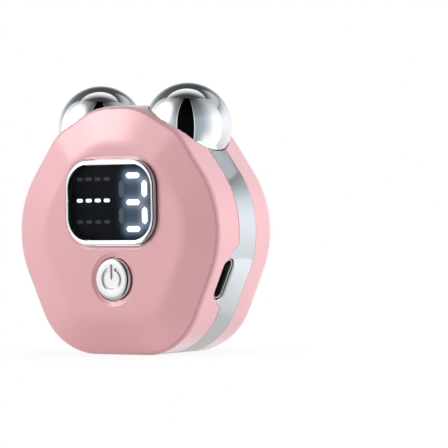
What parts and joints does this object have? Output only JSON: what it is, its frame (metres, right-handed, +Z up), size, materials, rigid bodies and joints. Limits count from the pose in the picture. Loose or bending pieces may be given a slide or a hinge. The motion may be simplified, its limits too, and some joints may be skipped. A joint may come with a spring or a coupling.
{
  "type": "facial toning device",
  "caption": "Palm-size facial toning device: two-shell body with a plated band, framed display, push button, charging port and rolling ball electrodes on leaning axles.",
  "frame": {"origin": "middle of the flat foot that the device stands on, in the middle plane of the plated band", "axes": "+Z up from the foot to the balls, -Y out of the display face, +X to the right seen from the front"},
  "size_m": [0.0526, 0.025, 0.0569],
  "materials": {
    "pink_shell": "soft satin pink moulding",
    "plated_band": "satin plated plastic",
    "bezel_silver": "bright plated plastic",
    "smoked_lens": "polished smoked acrylic",
    "black_plastic": "moulded black",
    "lit_guides": "milky diffuser, lit",
    "dim_guides": "milky diffuser, unlit",
    "led_chips": "phosphor",
    "board_green": "solder mask",
    "screw_steel": "zinc plated",
    "pearl_button": "pearl white",
    "white_plastic": "natural",
    "port_steel": "drawn steel",
    "gold_contacts": "gold flash",
    "copper_coil": "wound copper",
    "ceramic_tan": "fired ceramic",
    "wire_red": "silicone insulation",
    "battery_foil": "laminated pouch",
    "foam_grey": "open foam",
    "frame_plastic": "moulded",
    "ball_chrome": "mirror polished",
    "bush_brass": "turned",
    "axle_steel": "turned stainless",
    "seal_rubber": "silicone"
  },
  "bodies": {
    "body": {"front_shell": "pink_shell", "rear_shell": "pink_shell", "mid_band": "plated_band", "display_bezel": "bezel_silver", "display_lens": "smoked_lens", "display_reflector": "black_plastic", "segment_guides_lit": "lit_guides", "segment_guides_dim": "dim_guides", "mode_bar_guides": "dim_guides", "display_leds": "led_chips", "display_board": "board_green", "display_screws": "screw_steel", "board_link_header": "black_plastic", "switch_body": "black_plastic", "port_shell": "port_steel", "port_tongue": "black_plastic", "port_contacts": "gold_contacts", "main_board": "board_green", "board_screws": "screw_steel", "board_chips": "black_plastic", "pulse_transformer": "copper_coil", "board_capacitors": "ceramic_tan", "battery_connector": "white_plastic", "battery_leads": "wire_red", "battery_cell": "battery_foil", "battery_foam_pad": "foam_grey", "inner_frame": "frame_plastic", "frame_screws": "screw_steel", "ball_axle_left": "axle_steel", "ball_axle_right": "axle_steel", "axle_clip_left": "axle_steel", "axle_clip_right": "axle_steel", "axle_seal_left": "seal_rubber", "axle_seal_right": "seal_rubber", "axle_heater_left": "ceramic_tan", "axle_heater_right": "ceramic_tan", "axle_terminal_left": "bush_brass", "axle_terminal_right": "bush_brass", "axle_nut_left": "axle_steel", "axle_nut_right": "axle_steel", "ball_lead_left": "wire_red", "ball_lead_right": "wire_red"},
    "left_ball": {"ball_left": "ball_chrome", "ball_bush_left": "bush_brass"},
    "right_ball": {"ball_right": "ball_chrome", "ball_bush_right": "bush_brass"},
    "button": {"power_button": "pearl_button", "switch_plunger": "white_plastic"}
  },
  "joints": [
    {"name": "left_ball_roll", "type": "hinge", "parent": "body", "child": "left_ball", "pos_m": [-0.0114, 0, 0.0477], "axis": [-0.4226, 0, 0.9063], "continuous": true},
    {"name": "right_ball_roll", "type": "hinge", "parent": "body", "child": "right_ball", "pos_m": [0.0114, 0, 0.0477], "axis": [0.4226, 0, 0.9063], "continuous": true},
    {"name": "power_button_press", "type": "slide", "parent": "body", "child": "button", "axis": [0, 1, 0], "range_m": [0, 0.0005], "stiffness_N_per_m": 1500, "springref_m": -0.0002}
  ]
}
